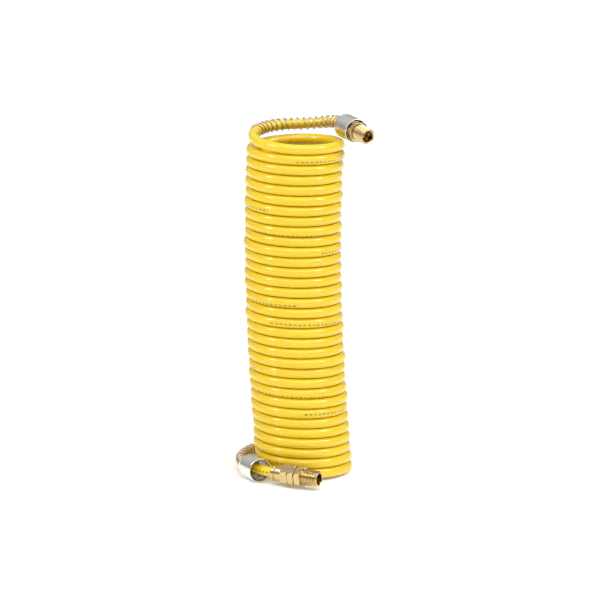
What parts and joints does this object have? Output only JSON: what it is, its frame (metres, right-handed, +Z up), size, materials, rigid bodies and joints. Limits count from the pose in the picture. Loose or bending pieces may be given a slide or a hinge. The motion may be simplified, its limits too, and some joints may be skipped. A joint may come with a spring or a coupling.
{
  "type": "recoil air hose",
  "caption": "Coiled nylon recoil air hose standing upright, with brass swivel male fittings, steel guard cups and spring bend guards at both ends.",
  "frame": {"origin": "centre of the coil's foot, on the surface that it stands on", "axes": "+Z up the coil, +X right and -Y towards the viewer, who sees the lower fitting lying in front"},
  "size_m": [0.1148, 0.1278, 0.3006],
  "materials": {
    "yellow_nylon": "gloss",
    "brass": "satin",
    "zinc_plate": "satin",
    "spring_wire": "satin",
    "black_rubber": "matte",
    "white_nylon": "matte"
  },
  "bodies": {
    "root": {"hose_coil": "yellow_nylon", "bottom_hose_tail": "yellow_nylon", "bottom_compression_nut": "brass", "bottom_grip_sleeve": "brass", "bottom_barbed_stem": "brass", "bottom_thrust_washer": "white_nylon", "bottom_swivel_seal": "black_rubber", "bottom_retaining_ring": "spring_wire"},
    "bottom_guard": {"bottom_guard_cup": "zinc_plate", "bottom_spring_guard": "spring_wire"},
    "bottom_swivel": {"bottom_swivel_body": "brass"},
    "top_end": {"top_hose_tail": "yellow_nylon", "top_compression_nut": "brass", "top_grip_sleeve": "brass", "top_barbed_stem": "brass", "top_thrust_washer": "white_nylon", "top_swivel_seal": "black_rubber", "top_retaining_ring": "spring_wire"},
    "top_guard": {"top_guard_cup": "zinc_plate", "top_spring_guard": "spring_wire"},
    "top_swivel": {"top_swivel_body": "brass"}
  },
  "joints": [
    {"name": "coil_stretch", "type": "slide", "parent": "root", "child": "top_end", "axis": [0, 0, 1], "range_m": [0, 1.2], "stiffness_N_per_m": 12, "deforming": ["hose_coil"]},
    {"name": "top_swivel_turn", "type": "hinge", "parent": "top_end", "child": "top_swivel", "pos_m": [0.04417, -0.00788, 0.28891], "axis": [0.468, -0.8801, -0.0802], "continuous": true},
    {"name": "bottom_swivel_turn", "type": "hinge", "parent": "root", "child": "bottom_swivel", "pos_m": [-0.00238, -0.0583, 0.0098], "axis": [0.866, -0.5, 0], "continuous": true},
    {"name": "bottom_guard_slide", "type": "hinge", "parent": "root", "child": "bottom_guard", "pos_m": [0, 0, 0.0104], "axis": [0, 0, 1], "range_deg": [-7, 3]},
    {"name": "top_guard_slide", "type": "slide", "parent": "top_end", "child": "top_guard", "axis": [-0.468, 0.8801, 0.0802], "range_m": [0, 0.008], "deforming": ["top_spring_guard"]}
  ]
}
